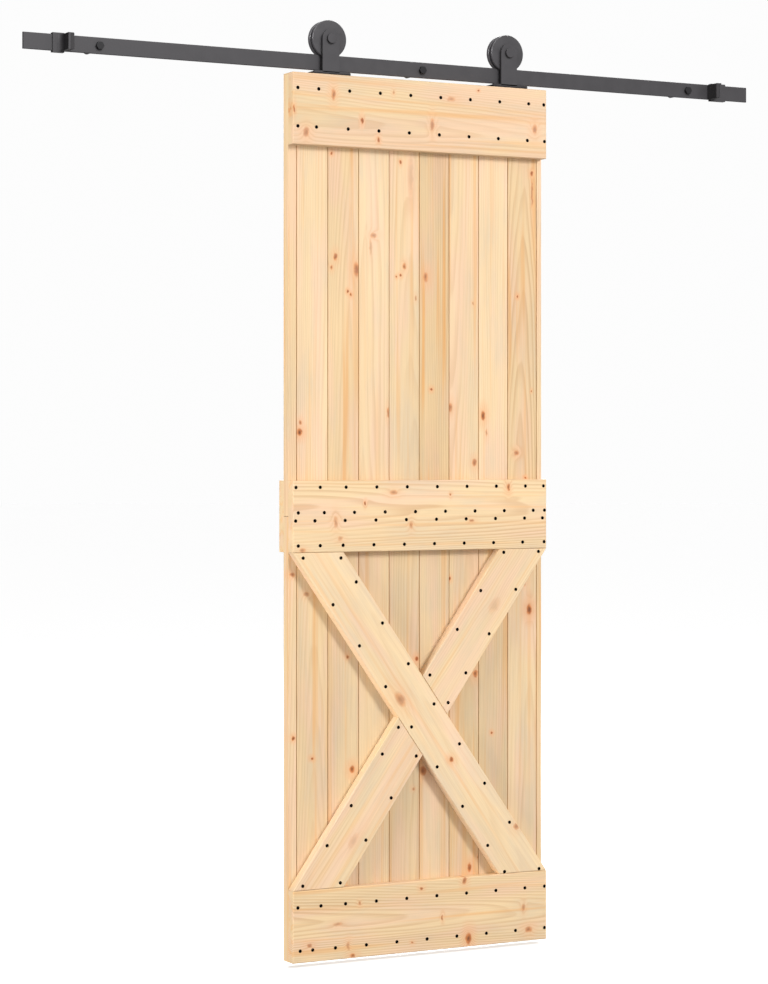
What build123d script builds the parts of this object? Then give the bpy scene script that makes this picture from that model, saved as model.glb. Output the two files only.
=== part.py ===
from build123d import *
import math
import os

# Sliding barn door leaf on a flat wall track. Millimetres.
# +X runs along the track to the right, +Y points into the wall, +Z up.
# The origin is the centre of the middle standoff's face on the wall.

# Track bar and its fixings
track_length = 1985.0
track_height = 38.0
track_thickness = 6.0
track_edge_chamfer = 1.2
middle_bolt_offset = 32.0        # from the track's centre towards +X
end_bolt_inset = 184.0           # from each end of the track
standoff_length = 73.0
standoff_diameter = 20.0
lag_shank_diameter = 8.0
lag_hole_clearance = 0.3         # radial, in the bar and the standoffs
lag_head_flats = 17.0
lag_head_height = 7.0

# End stops
stop_inset_left = 107.5          # bumper face from the track's left end
stop_inset_right = 122.5         # bumper face from the track's right end
stop_sleeve_left = 28.0
stop_sleeve_right = 44.0
stop_wall = 3.0
stop_play = 0.2                  # between sleeve and bar, each side
stop_ear_thickness = 5.0
stop_ear_reach = 38.0            # in front of the sleeve
stop_bend_radius = 10.0
bumper_thickness = 10.0
bumper_gap = 0.3                 # between bumper and bar front
bumper_edge_chamfer = 1.5
grub_diameter = 6.0
grub_proud = 1.5
grub_socket_flats = 3.0
grub_socket_depth = 1.2

# Rollers
tread_radius = 37.0
flange_radius = 45.0
front_flange_width = 7.0
groove_width = 8.0
rear_flange_width = 11.0
running_gap = 0.3                # between tread and bar top
hub_lip_width = 8.0
hub_lip_radius = 13.0
dish_radius = 32.0
bearing_outer_radius = 16.0
bearing_width = 10.0
axle_radius = 6.0
axle_running_clearance = 0.05
side_play = 0.1

# Hangers
hanger_inset = 104.0             # wheel centre from the door's side edge
strap_width = 45.0
strap_thickness = 6.0
strap_to_wheel_gap = 2.0
plate_length = 100.0
plate_offset = 3.5               # the plates' middles sit this far right of the straps
plate_depth = 34.0
plate_thickness = 6.0
plate_corner_chamfer = 2.0
weld_size = 4.0
axle_hole_clearance = 0.15
axle_head_diameter = 23.0
axle_head_height = 6.0
spacer_radius = 9.0
axle_nut_flats = 19.0
axle_nut_height = 10.0
axle_end_proud = 2.0
plate_screw_diameter = 5.0
plate_screw_head = 9.0
plate_screw_length = 40.0
plate_screw_inset_x = 13.0       # from the plate's ends
plate_screw_inset_front = 7.5
plate_hole_clearance = 0.3
plate_sink_clearance = 0.15

# Door leaf
door_width = 700.0
door_height = 2100.0
door_rest_offset = 22.0          # door's centre from the track's centre
door_to_track_gap = 10.0
board_thickness = 25.0
rail_thickness = 25.0
batten_thickness = 25.0
rail_height = 170.0
middle_rail_centre = 1052.0      # above the door's bottom
wood_edge_chamfer = 1.5
board_count = 8
left_strip_width = 22.0
right_strip_width = 14.0
board_gap = 0.4
board_v_depth = 1.2
halves_gap = 0.8
tongue_length = 7.0
tongue_thickness = 7.0
tongue_clearance = 0.4
brace_slot = 135.0               # width of a brace along the rails' edges
brace_gap = 0.4
wood_screw_head = 8.0
wood_screw_shank = 3.6
wood_screw_proud = 0.2
wood_screw_length = 42.0
middle_screw_length = 62.0

# Rail screw rows: distance from the named edge, first board's screw and the other
# boards' screws from their left seam, then the two edge screws from the door's sides.
top_rows = [
    ("top", 37.0, 46.0, 45.5, 13.0, 8.0),
    ("bottom", 42.5, 40.0, 41.5, 13.0, 6.0),
]
middle_rows = [
    ("top", 16.0, 50.0, 36.0, 8.0, 9.0),
    ("split_above", 9.0, 61.0, 58.5, 14.0, 6.0),
    ("split_below", 10.0, 36.0, 33.5, 7.0, 12.0),
    ("bottom", 16.0, 50.0, 28.0, 14.0, 7.0),
]
bottom_rows = [
    ("top", 39.0, 52.0, 34.5, 13.0, 6.0),
    ("bottom", 28.5, 30.0, 7.5, 19.0, 6.0),
]
brace_screw_inset = 14.5         # from a brace's long edges

# Brace screw rows: the edge, screws measured from the brace's top end, then an even run
# (first, last, about this pitch) and single screws that are measured from its bottom end.
long_brace_rows = [
    ("near", [26.0], (814.0, 79.0, 122.5), [-4.0]),
    ("far", [85.0], (821.0, 86.0, 122.5), [-61.0]),
]
short_brace_rows = [
    ("near", [20.0, 133.0, 264.0, 378.0, 464.0], (360.0, 4.0, 119.0), []),
    ("far", [78.0, 191.0, 305.0, 437.0], (169.0, -54.0, 111.5), [390.0, 314.0]),
]

# Derived places
track_centre_x = -middle_bolt_offset
track_left_x = track_centre_x - track_length / 2
track_right_x = track_centre_x + track_length / 2
bolt_places = {
    "left": track_left_x + end_bolt_inset,
    "middle": 0.0,
    "right": track_right_x - end_bolt_inset,
}
track_back_y = -standoff_length
track_front_y = track_back_y - track_thickness
track_mid_y = (track_front_y + track_back_y) / 2
track_top_z = track_height / 2
track_bottom_z = -track_height / 2

wheel_centre_z = track_top_z + running_gap + tread_radius
groove_front_y = track_mid_y - groove_width / 2
wheel_front_y = groove_front_y - front_flange_width
wheel_width = front_flange_width + groove_width + rear_flange_width
strap_back_y = wheel_front_y - strap_to_wheel_gap
strap_front_y = strap_back_y - strap_thickness
bearing_front_y = wheel_front_y + hub_lip_width

door_thickness = board_thickness + rail_thickness
door_mid_y = track_mid_y
door_front_y = door_mid_y - door_thickness / 2
board_front_y = door_front_y + rail_thickness
board_back_y = board_front_y + board_thickness
door_left_x = track_centre_x + door_rest_offset - door_width / 2
door_right_x = door_left_x + door_width
door_top_z = track_bottom_z - door_to_track_gap
door_bottom_z = door_top_z - door_height
split_z = door_bottom_z + middle_rail_centre
middle_rail_bottom_z = split_z - rail_height / 2
bottom_rail_top_z = door_bottom_z + rail_height
hanger_places = {
    "left": door_left_x + hanger_inset,
    "right": door_right_x - hanger_inset,
}
board_pitch = (door_width - left_strip_width - right_strip_width) / board_count


def box_between(x0, x1, y0, y1, z0, z1):
    centre = ((x0 + x1) / 2, (y0 + y1) / 2, (z0 + z1) / 2)
    return Pos(*centre) * Box(x1 - x0, y1 - y0, z1 - z0)


def along_y(x, y0, z, radius, length):
    """A round bar that starts at y0 and runs towards the wall."""
    return Pos(x, y0, z) * Rot(-90, 0, 0) * Cylinder(
        radius, length, align=(Align.CENTER, Align.CENTER, Align.MIN))


def hex_along_y(x, y0, z, flats, height):
    """A hexagonal bar that starts at y0 and runs towards the wall."""
    prism = extrude(RegularPolygon(flats / math.sqrt(3), 6), height)
    return Pos(x, y0, z) * Rot(-90, 0, 0) * prism


def turned_about_y(x, y0, z, outline):
    """Spin an outline of (radius, depth) pairs about the line through x, z along Y."""
    profile = make_face(Polyline(*[(r, d) for r, d in outline], close=True))
    return Pos(x, y0, z) * revolve(profile, Axis.Y)


def long_edges(solid, axis):
    return solid.edges().filter_by(axis)


# Track

def make_track_bar():
    bar = box_between(track_left_x, track_right_x, track_front_y, track_back_y,
                      track_bottom_z, track_top_z)
    bar = chamfer(long_edges(bar, Axis.X), track_edge_chamfer)
    for x in bolt_places.values():
        hole = along_y(x, track_front_y - 1, 0, lag_shank_diameter / 2 + lag_hole_clearance,
                       track_thickness + 2)
        bar -= hole
    return bar


def make_standoff(x):
    tube = along_y(x, track_back_y, 0, standoff_diameter / 2, standoff_length)
    bore_radius = lag_shank_diameter / 2 + lag_hole_clearance
    return tube - along_y(x, track_back_y - 1, 0, bore_radius, standoff_length + 2)


def make_lag_bolts():
    shank_length = track_thickness + standoff_length
    bolts = []
    for x in bolt_places.values():
        head = hex_along_y(x, track_front_y - lag_head_height, 0, lag_head_flats,
                           lag_head_height)
        shank = along_y(x, track_front_y, 0, lag_shank_diameter / 2, shank_length)
        bolts.append(head + shank)
    return Compound(bolts)


# End stops. side is -1 on the left and +1 on the right.

def bumper_face_x(side):
    if side < 0:
        return track_left_x + stop_inset_left
    return track_right_x - stop_inset_right


def sleeve_length(side):
    return stop_sleeve_left if side < 0 else stop_sleeve_right


def span_out(side, start, length):
    """Low and high X of a stretch that runs outwards from start, measured off the bumper."""
    near = bumper_face_x(side) + side * start
    far = near + side * length
    return min(near, far), max(near, far)


def make_stop_bracket(side):
    sleeve_front_y = track_front_y - stop_play - stop_wall
    sleeve_back_y = track_back_y + stop_play + stop_wall
    sleeve_half = track_height / 2 + stop_play + stop_wall
    low_x, high_x = span_out(side, bumper_thickness, sleeve_length(side))
    body = box_between(low_x, high_x, sleeve_front_y, sleeve_back_y, -sleeve_half, sleeve_half)
    ear_low, ear_high = span_out(side, bumper_thickness, stop_ear_thickness)
    ear = box_between(ear_low, ear_high, sleeve_front_y - stop_ear_reach,
                      sleeve_front_y + stop_wall / 2, track_bottom_z, track_top_z)
    bend_x = bumper_face_x(side) + side * (bumper_thickness + stop_ear_thickness)
    body += ear
    inner_corner = (body.edges().filter_by(Axis.Z)
                    .filter_by_position(Axis.X, bend_x - 0.01, bend_x + 0.01)
                    .filter_by_position(Axis.Y, sleeve_front_y - 0.01, sleeve_front_y + 0.01))
    body = fillet(inner_corner, stop_bend_radius)
    body -= box_between(low_x - 1, high_x + 1, track_front_y - stop_play,
                        track_back_y + stop_play, -track_height / 2 - stop_play,
                        track_height / 2 + stop_play)
    return body - along_y(grub_x(side), track_back_y, 0, grub_diameter / 2, 2 * stop_wall)


def grub_x(side):
    low_x, high_x = span_out(side, bumper_thickness, sleeve_length(side))
    return (low_x + high_x) / 2


def make_grub_screws():
    length = stop_play + stop_wall + grub_proud
    socket_radius = grub_socket_flats / math.sqrt(3)
    screws = []
    for x in (grub_x(-1), grub_x(1)):
        screw = along_y(x, track_back_y, 0, grub_diameter / 2, length)
        socket = Pos(x, track_back_y + length - grub_socket_depth, 0) * Rot(-90, 0, 0) * extrude(
            RegularPolygon(socket_radius, 6), grub_socket_depth + 1)
        screws.append(screw - socket)
    return Compound(screws)


def make_bumper(side):
    low_x, high_x = span_out(side, 0, bumper_thickness)
    front_y = track_front_y - stop_play - stop_wall - stop_ear_reach
    block = box_between(low_x, high_x, front_y, track_front_y - bumper_gap,
                        track_bottom_z, track_top_z)
    face = bumper_face_x(side)
    wheel_side = block.edges().filter_by_position(Axis.X, face - 0.01, face + 0.01)
    return chamfer(wheel_side, bumper_edge_chamfer)


# Rollers

def make_wheel(x):
    width = wheel_width
    groove_start = front_flange_width
    groove_end = front_flange_width + groove_width
    seat_end = hub_lip_width + bearing_width
    outline = [
        (hub_lip_radius, 0),
        (flange_radius, 0),
        (flange_radius, groove_start),
        (tread_radius, groove_start),
        (tread_radius, groove_end),
        (flange_radius, groove_end),
        (flange_radius, width),
        (dish_radius, width),
        (bearing_outer_radius, seat_end),
        (bearing_outer_radius, hub_lip_width),
        (hub_lip_radius, hub_lip_width),
    ]
    return turned_about_y(x, wheel_front_y, wheel_centre_z, outline)


def make_bearing(x):
    ring = along_y(x, bearing_front_y, wheel_centre_z, bearing_outer_radius, bearing_width)
    bore = along_y(x, bearing_front_y - 1, wheel_centre_z, axle_radius + axle_running_clearance,
                   bearing_width + 2)
    return ring - bore


# Hangers

def plate_screw_places():
    """Two screws through each plate's ends, as (x, y) on the plate's top."""
    y = strap_front_y + plate_screw_inset_front
    reach = plate_length / 2 - plate_screw_inset_x
    middles = [x + plate_offset for x in hanger_places.values()]
    return [(middle + side * reach, y) for middle in middles for side in (-1, 1)]


def make_hanger(x):
    plate_top = door_top_z + plate_thickness
    plate_x = x + plate_offset
    plate = box_between(plate_x - plate_length / 2, plate_x + plate_length / 2, strap_front_y,
                        strap_front_y + plate_depth, door_top_z, plate_top)
    plate = chamfer(long_edges(plate, Axis.Z), plate_corner_chamfer)
    strap = box_between(x - strap_width / 2, x + strap_width / 2, strap_front_y, strap_back_y,
                        plate_top - plate_thickness / 2, wheel_centre_z)
    strap += along_y(x, strap_front_y, wheel_centre_z, strap_width / 2, strap_thickness)
    hanger = plate + strap
    weld_line = (hanger.edges().filter_by(Axis.X)
                 .filter_by_position(Axis.Y, strap_back_y - 0.01, strap_back_y + 0.01)
                 .filter_by_position(Axis.Z, plate_top - 0.01, plate_top + 0.01))
    hanger = chamfer(weld_line, weld_size)
    hanger -= along_y(x, strap_front_y - 1, wheel_centre_z, axle_radius + axle_hole_clearance,
                      strap_thickness + 2)
    hole_radius = plate_screw_diameter / 2 + plate_hole_clearance
    sink_radius = plate_screw_head / 2 + plate_sink_clearance
    sink_depth = sink_radius - hole_radius
    for place_x, place_y in plate_screw_places():
        hanger -= Pos(place_x, place_y, plate_top) * Cylinder(hole_radius, 3 * plate_thickness)
        hanger -= Pos(place_x, place_y, plate_top - sink_depth / 2) * Cone(
            hole_radius, sink_radius, sink_depth)
    return hanger


def make_hanger_screws():
    """Countersunk screws flush with the plates, eight-sided, driven down into the rail."""
    neck = (plate_screw_head - plate_screw_diameter) / 2
    screws = []
    for x, y in plate_screw_places():
        head = extrude(RegularPolygon(plate_screw_head / 2, 8), -neck, taper=45)
        shank = extrude(RegularPolygon(plate_screw_diameter / 2, 8), -plate_screw_length)
        screws.append(Pos(x, y, door_top_z + plate_thickness) * (head + shank))
    return Compound(screws)


def axle_stack():
    """Y of the strap's back, the bearing's front and the nut's front."""
    nut_front = bearing_front_y + bearing_width + side_play
    return strap_back_y, bearing_front_y, nut_front


def make_axle_bolts():
    head_front = strap_front_y - axle_head_height
    end_y = axle_stack()[2] + axle_nut_height + axle_end_proud
    bolts = []
    for x in hanger_places.values():
        head = along_y(x, head_front, wheel_centre_z, axle_head_diameter / 2, axle_head_height)
        shank = along_y(x, strap_front_y, wheel_centre_z, axle_radius, end_y - strap_front_y)
        bolts.append(head + shank)
    return Compound(bolts)


def make_axle_spacers():
    """Bushes between the straps and the bearings' inner rings."""
    strap_back, bearing_front, _ = axle_stack()
    length = bearing_front - side_play - strap_back
    bore = axle_radius + axle_running_clearance
    spacers = []
    for x in hanger_places.values():
        bush = along_y(x, strap_back, wheel_centre_z, spacer_radius, length)
        spacers.append(bush - along_y(x, strap_back - 1, wheel_centre_z, bore, length + 2))
    return Compound(spacers)


def make_axle_nuts():
    nut_front = axle_stack()[2]
    bore = axle_radius + axle_running_clearance
    nuts = []
    for x in hanger_places.values():
        nut = hex_along_y(x, nut_front, wheel_centre_z, axle_nut_flats, axle_nut_height)
        hole = along_y(x, nut_front - 1, wheel_centre_z, bore, axle_nut_height + 2)
        nuts.append(nut - hole)
    return Compound(nuts)


# Door leaf

def seam_x(index):
    """X of the seam on the left of full board number index, counted from 0."""
    return door_left_x + left_strip_width + index * board_pitch


def board_spans():
    spans = [(door_left_x, seam_x(0), False, True)]
    for index in range(board_count):
        spans.append((seam_x(index), seam_x(index + 1), True, True))
    spans.append((seam_x(board_count), door_right_x, True, False))
    return spans


def make_board(span, bottom_z, top_z):
    """One tongue-and-groove board: groove on its left edge, tongue on its right."""
    low_x, high_x, has_groove, has_tongue = span
    half_gap = board_gap / 2
    left = low_x + (half_gap if has_groove else 0)
    right = high_x - (half_gap if has_tongue else 0)
    mid_y = (board_front_y + board_back_y) / 2
    half_tongue = tongue_thickness / 2
    half_slot = half_tongue + tongue_clearance
    slot_depth = tongue_length + tongue_clearance
    points = []
    if has_groove:
        points += [
            (left, board_back_y),
            (left, mid_y + half_slot),
            (left + slot_depth, mid_y + half_slot),
            (left + slot_depth, mid_y - half_slot),
            (left, mid_y - half_slot),
            (left, board_front_y + board_v_depth),
            (left + board_v_depth, board_front_y),
        ]
    else:
        points += [(left, board_back_y), (left, board_front_y)]
    if has_tongue:
        tip = right + tongue_length
        points += [
            (right - board_v_depth, board_front_y),
            (right, board_front_y + board_v_depth),
            (right, mid_y - half_tongue),
            (tip, mid_y - half_tongue),
            (tip, mid_y + half_tongue),
            (right, mid_y + half_tongue),
            (right, board_back_y),
        ]
    else:
        points += [(right, board_front_y), (right, board_back_y)]
    profile = make_face(Polyline(*points, close=True))
    return Pos(0, 0, bottom_z) * extrude(profile, top_z - bottom_z)


def eased_board(x0, x1, y0, y1, z0, z1, seen_axis_y):
    """A plain board whose edges on the seen face are taken off."""
    board = box_between(x0, x1, y0, y1, z0, z1)
    seen = board.edges().filter_by_position(Axis.Y, seen_axis_y - 0.01, seen_axis_y + 0.01)
    return chamfer(seen, wood_edge_chamfer)


def make_rail(bottom_z):
    return eased_board(door_left_x, door_right_x, door_front_y, board_front_y,
                       bottom_z, bottom_z + rail_height, door_front_y)


def make_rear_batten():
    return eased_board(door_left_x, door_right_x, board_back_y, board_back_y + batten_thickness,
                       split_z - rail_height / 2, split_z + rail_height / 2,
                       board_back_y + batten_thickness)


def brace_outline(mirrored):
    """The brace's slanted outline on the door's front, between the two rails."""
    top_z = middle_rail_bottom_z - brace_gap
    bottom_z = bottom_rail_top_z + brace_gap
    corners = [
        (0, top_z),
        (brace_slot, top_z),
        (door_width, bottom_z),
        (door_width - brace_slot, bottom_z),
    ]
    if mirrored:
        corners = [(door_width - x, z) for x, z in reversed(corners)]
    return [(door_left_x + x, z) for x, z in corners]


def brace_plane():
    return Plane(origin=(0, board_front_y, 0), x_dir=(1, 0, 0), z_dir=(0, -1, 0))


def make_braces():
    """The long brace runs through; the other is cut where it meets the long one."""
    long_face = make_face(Polyline(*brace_outline(False), close=True))
    cross_face = make_face(Polyline(*brace_outline(True), close=True))
    halves = cross_face - offset(long_face, brace_gap, kind=Kind.INTERSECTION)
    lower_face, upper_face = halves.faces().sort_by(Axis.Y)
    braces = []
    for face in (long_face, upper_face, lower_face):
        brace = brace_plane() * extrude(face, rail_thickness)
        seen = brace.edges().filter_by_position(Axis.Y, door_front_y - 0.01, door_front_y + 0.01)
        braces.append(chamfer(seen, wood_edge_chamfer))
    return braces


# Wood screws

def wood_screw(x, z, length):
    """A countersunk screw, kept six-sided, driven into the front face towards the wall."""
    head = RegularPolygon(wood_screw_head / 2, 6)
    neck = (wood_screw_head - wood_screw_shank) / 2
    sunk = extrude(head, neck, taper=45)
    shank = extrude(RegularPolygon(wood_screw_shank / 2, 6), length)
    return Pos(x, door_front_y - wood_screw_proud, z) * Rot(-90, 0, 0) * (sunk + shank)


def row_height(edge, distance, rail_bottom_z):
    heights = {
        "top": rail_bottom_z + rail_height - distance,
        "bottom": rail_bottom_z + distance,
        "split_above": split_z + distance,
        "split_below": split_z - distance,
    }
    return heights[edge]


def rail_screw_places(rows, rail_bottom_z):
    places = []
    for edge, distance, first, others, left_edge, right_edge in rows:
        z = row_height(edge, distance, rail_bottom_z)
        xs = [door_left_x + left_edge, seam_x(0) + first]
        xs += [seam_x(index) + others for index in range(1, board_count)]
        xs.append(door_right_x - right_edge)
        places += [(x, z) for x in xs]
    return places


def evenly(first, last, pitch):
    steps = round(abs(last - first) / pitch)
    return [first + (last - first) * index / steps for index in range(steps + 1)]


def brace_screw_places():
    """Rows of screws inside both long edges of each brace, counted down its length."""
    run = door_width - brace_slot
    drop = middle_rail_bottom_z - bottom_rail_top_z
    length = math.hypot(run, drop)
    width = brace_slot * drop / length
    insets = {"near": brace_screw_inset, "far": width - brace_screw_inset}
    down = Vector(run / length, -drop / length)
    across = Vector(drop / length, run / length)
    places = []
    for rows, start_x, side in [(long_brace_rows, door_left_x, 1),
                                (short_brace_rows, door_right_x, -1)]:
        for edge, from_top, (first, last, pitch), from_bottom in rows:
            back = evenly(first, last, pitch) + from_bottom
            for distance in from_top + [length - each for each in back]:
                step = down * distance + across * insets[edge]
                places.append((start_x + side * step.X, middle_rail_bottom_z + step.Y))
    return places


def make_wood_screws(places, length):
    return Compound([wood_screw(x, z, length) for x, z in places])


def build_parts():
    parts = {"track_bar": make_track_bar()}
    for name, x in bolt_places.items():
        parts[f"standoff_{name}"] = make_standoff(x)
    parts["lag_bolts"] = make_lag_bolts()
    for name, side in (("left", -1), ("right", 1)):
        parts[f"stop_bracket_{name}"] = make_stop_bracket(side)
        parts[f"stop_bumper_{name}"] = make_bumper(side)
    parts["stop_grub_screws"] = make_grub_screws()
    for name, x in hanger_places.items():
        parts[f"wheel_{name}"] = make_wheel(x)
        parts[f"bearing_{name}"] = make_bearing(x)
        parts[f"hanger_{name}"] = make_hanger(x)
    parts["hanger_screws"] = make_hanger_screws()
    parts["axle_bolts"] = make_axle_bolts()
    parts["axle_spacers"] = make_axle_spacers()
    parts["axle_nuts"] = make_axle_nuts()
    for number, span in enumerate(board_spans(), start=1):
        parts[f"lower_board_{number}"] = make_board(span, door_bottom_z, split_z - halves_gap / 2)
        parts[f"upper_board_{number}"] = make_board(span, split_z + halves_gap / 2, door_top_z)
    parts["top_rail"] = make_rail(door_top_z - rail_height)
    parts["middle_rail"] = make_rail(middle_rail_bottom_z)
    parts["bottom_rail"] = make_rail(door_bottom_z)
    parts["rear_batten"] = make_rear_batten()
    long_brace, short_upper, short_lower = make_braces()
    parts["long_brace"] = long_brace
    parts["short_brace_upper"] = short_upper
    parts["short_brace_lower"] = short_lower
    parts["top_rail_screws"] = make_wood_screws(
        rail_screw_places(top_rows, door_top_z - rail_height), wood_screw_length)
    parts["middle_rail_screws"] = make_wood_screws(
        rail_screw_places(middle_rows, middle_rail_bottom_z), middle_screw_length)
    parts["bottom_rail_screws"] = make_wood_screws(
        rail_screw_places(bottom_rows, door_bottom_z), wood_screw_length)
    parts["brace_screws"] = make_wood_screws(brace_screw_places(), wood_screw_length)
    return parts


os.makedirs("parts", exist_ok=True)
for node, solid in build_parts().items():
    export_step(solid, f"parts/{node}.step")
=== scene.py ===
import math
from itertools import count
import bpy
import bmesh
from mathutils import Matrix, Vector


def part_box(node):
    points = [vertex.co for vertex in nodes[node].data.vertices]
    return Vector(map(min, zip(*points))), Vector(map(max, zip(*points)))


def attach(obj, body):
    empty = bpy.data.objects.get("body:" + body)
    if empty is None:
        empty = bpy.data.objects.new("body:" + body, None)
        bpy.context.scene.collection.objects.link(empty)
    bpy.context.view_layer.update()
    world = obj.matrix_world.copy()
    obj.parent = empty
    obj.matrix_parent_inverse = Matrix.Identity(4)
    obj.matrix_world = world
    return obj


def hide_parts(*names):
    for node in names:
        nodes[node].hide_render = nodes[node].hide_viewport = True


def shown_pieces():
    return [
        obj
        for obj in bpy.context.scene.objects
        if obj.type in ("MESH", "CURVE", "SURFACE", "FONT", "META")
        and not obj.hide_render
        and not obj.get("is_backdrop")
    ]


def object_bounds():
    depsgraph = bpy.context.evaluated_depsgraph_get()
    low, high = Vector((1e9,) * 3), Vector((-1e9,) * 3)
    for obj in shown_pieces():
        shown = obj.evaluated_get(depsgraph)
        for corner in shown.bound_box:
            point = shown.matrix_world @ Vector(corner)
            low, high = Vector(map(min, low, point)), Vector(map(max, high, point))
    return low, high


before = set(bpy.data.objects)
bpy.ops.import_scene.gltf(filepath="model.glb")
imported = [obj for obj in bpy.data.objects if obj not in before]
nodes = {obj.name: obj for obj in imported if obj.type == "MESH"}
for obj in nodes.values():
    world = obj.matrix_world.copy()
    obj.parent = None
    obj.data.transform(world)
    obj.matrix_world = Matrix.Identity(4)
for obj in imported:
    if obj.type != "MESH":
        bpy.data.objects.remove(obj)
cadLow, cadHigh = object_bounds()
print("frame in:", len(nodes), "nodes")


def addNode(tree, kind, **settings):
    node = tree.nodes.new(kind)
    for key, value in settings.items():
        setattr(node, key, value)
    return node


def plug(tree, source, target):
    if isinstance(source, bpy.types.NodeSocket):
        tree.links.new(source, target)
    else:
        target.default_value = source


def calc(tree, operation, a, b=0.0, c=0.0):
    node = addNode(tree, "ShaderNodeMath", operation=operation)
    for socket, value in zip(node.inputs, (a, b, c)):
        plug(tree, value, socket)
    return node.outputs[0]


def calcVector(tree, operation, a, b=(0, 0, 0)):
    node = addNode(tree, "ShaderNodeVectorMath", operation=operation)
    plug(tree, a, node.inputs[0])
    plug(tree, b, node.inputs[1])
    return node.outputs["Value" if operation == "LENGTH" else "Vector"]


def remap(tree, value, fromLow, fromHigh, toLow=0.0, toHigh=1.0, smooth=True):
    node = addNode(tree, "ShaderNodeMapRange",
                   interpolation_type="SMOOTHSTEP" if smooth else "LINEAR")
    plug(tree, value, node.inputs["Value"])
    for key, number in (("From Min", fromLow), ("From Max", fromHigh),
                        ("To Min", toLow), ("To Max", toHigh)):
        node.inputs[key].default_value = number
    return node.outputs["Result"]


def blendColour(tree, factor, a, b, mode="MIX"):
    node = addNode(tree, "ShaderNodeMix", data_type="RGBA", blend_type=mode)
    plug(tree, factor, node.inputs["Factor"])
    plug(tree, a, node.inputs[6])
    plug(tree, b, node.inputs[7])
    return node.outputs[2]


def noise(tree, vector, scale, detail=2.0, rough=0.5):
    node = addNode(tree, "ShaderNodeTexNoise", noise_dimensions="3D")
    plug(tree, vector, node.inputs["Vector"])
    node.inputs["Scale"].default_value = scale
    node.inputs["Detail"].default_value = detail
    node.inputs["Roughness"].default_value = rough
    return node


def newFinish(name):
    finish = bpy.data.materials.new(name)
    finish.use_nodes = True
    tree = finish.node_tree
    shader = next(n for n in tree.nodes if n.type == "BSDF_PRINCIPLED")
    return finish, tree, shader


def rgb(red, green, blue):
    return (red, green, blue, 1.0)


pine = {
    "early": rgb(0.775, 0.580, 0.348),     # pale wood between the rings
    "blush": rgb(0.790, 0.555, 0.372),     # pinker stretches
    "grey": rgb(0.665, 0.535, 0.375),      # duller, greyer stretches
    "late": rgb(0.55, 0.31, 0.150),        # ring lines
    "resin": rgb(0.76, 0.42, 0.17),        # orange streaks
    "blushSpan": (0.42, 0.70),             # cloud levels between which each one comes in
    "dullSpan": (0.45, 0.72),
    "streakSpan": (0.52, 0.74),
    "patchSpan": (0.25, 0.75),
    "fibreSpan": (0.3, 0.7),
    "dullShare": 0.55,
    "streakShare": 0.34,
    "warmTint": (0.0, 0.05, 0.16),         # what a warm board loses in red, green and blue
    "patchShade": (0.93, 1.06),
    "threadShade": (0.94, 1.04),
    "seedStep": (3.1, 1.7, 7.3),           # moves each board to its own part of the clouds
    "seamGroovePaintedShade": rgb(0.80, 0.68, 0.56),    # painted shade on the wood beside a joint, standing in for the shade in its V-groove
    "grooveShadeReach": (0.0005, 0.0019),
    "roughness": (0.50, 0.66),
    "sheen": 0.3,                          # specular level of bare wood
    "reliefOfRings": 0.6,
    "bump": 0.00022,
    "bumpStrength": 0.5,
}
growth = {
    "pitch": 0.0046,
    "wander": (0.016, 0.016, 0.0),         # how far the pith strays sideways
    "crowding": 5.0,                       # turns gained and lost where growth was uneven
    "darkens": (0.32, 0.86),               # place in a ring where late wood sets in
    "stops": (1.0, 0.88),
    "unevenSpan": (0.3, 0.7),
    "faintest": 0.25,
}
knot = {
    "edge": rgb(0.47, 0.150, 0.045),
    "core": rgb(0.68, 0.250, 0.075),
    "heart": rgb(0.15, 0.050, 0.020),
    "halo": rgb(0.78, 0.37, 0.17),
    "haloShare": 0.58,
    "ragged": (0.007, 0.0, 0.009),
    "bodyReach": (1.25, 0.65),             # none to full, in half widths of the knot
    "haloReach": (4.2, 0.7),
    "heartReach": (0.85, 0.1),
    "bodyGain": 1.35,
    "heartGain": 1.1,
    "swell": 0.0011,                       # how far it pushes the rings aside
    "swellFloor": 0.2,
    "swellFade": 0.35,
    "coreSpan": (0.38, 0.62),
    "crackSpan": (0.3, 0.6),
    "crackFloor": 0.6,
}
# pace along the board against across it, then scale, detail and roughness
clouds = {
    "wander": (0.10, 16, 2, 0.5),
    "pace": (0.03, 9, 1, 0.5),
    "uneven": (0.05, 22, 2, 0.5),
    "fibre": (0.018, 520, 3, 0.6),
    "patch": (0.12, 14, 2, 0.5),
    "streak": (0.025, 60, 2, 0.5),
    "blush": (0.15, 24, 1, 0.5),
    "dull": (0.3, 17, 3, 0.6),
    "knotwood": (1.0, 70, 2, 0.5),
}


def cloud(tree, vector, name):
    along, scale, detail, rough = clouds[name]
    drawnOut = calcVector(tree, "MULTIPLY", vector, (1, 1, along))
    return noise(tree, drawnOut, scale, detail, rough).outputs


def strayed(tree, vector, colour, amount):
    offset = calcVector(tree, "SUBTRACT", colour, (0.5, 0.5, 0.5))
    offset = calcVector(tree, "MULTIPLY", offset, amount)
    return calcVector(tree, "ADD", vector, offset)


def colourFrom(tree, channels):
    node = addNode(tree, "ShaderNodeCombineColor")
    for socket, value in zip(node.inputs, channels):
        plug(tree, value, socket)
    return node.outputs[0]


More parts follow.
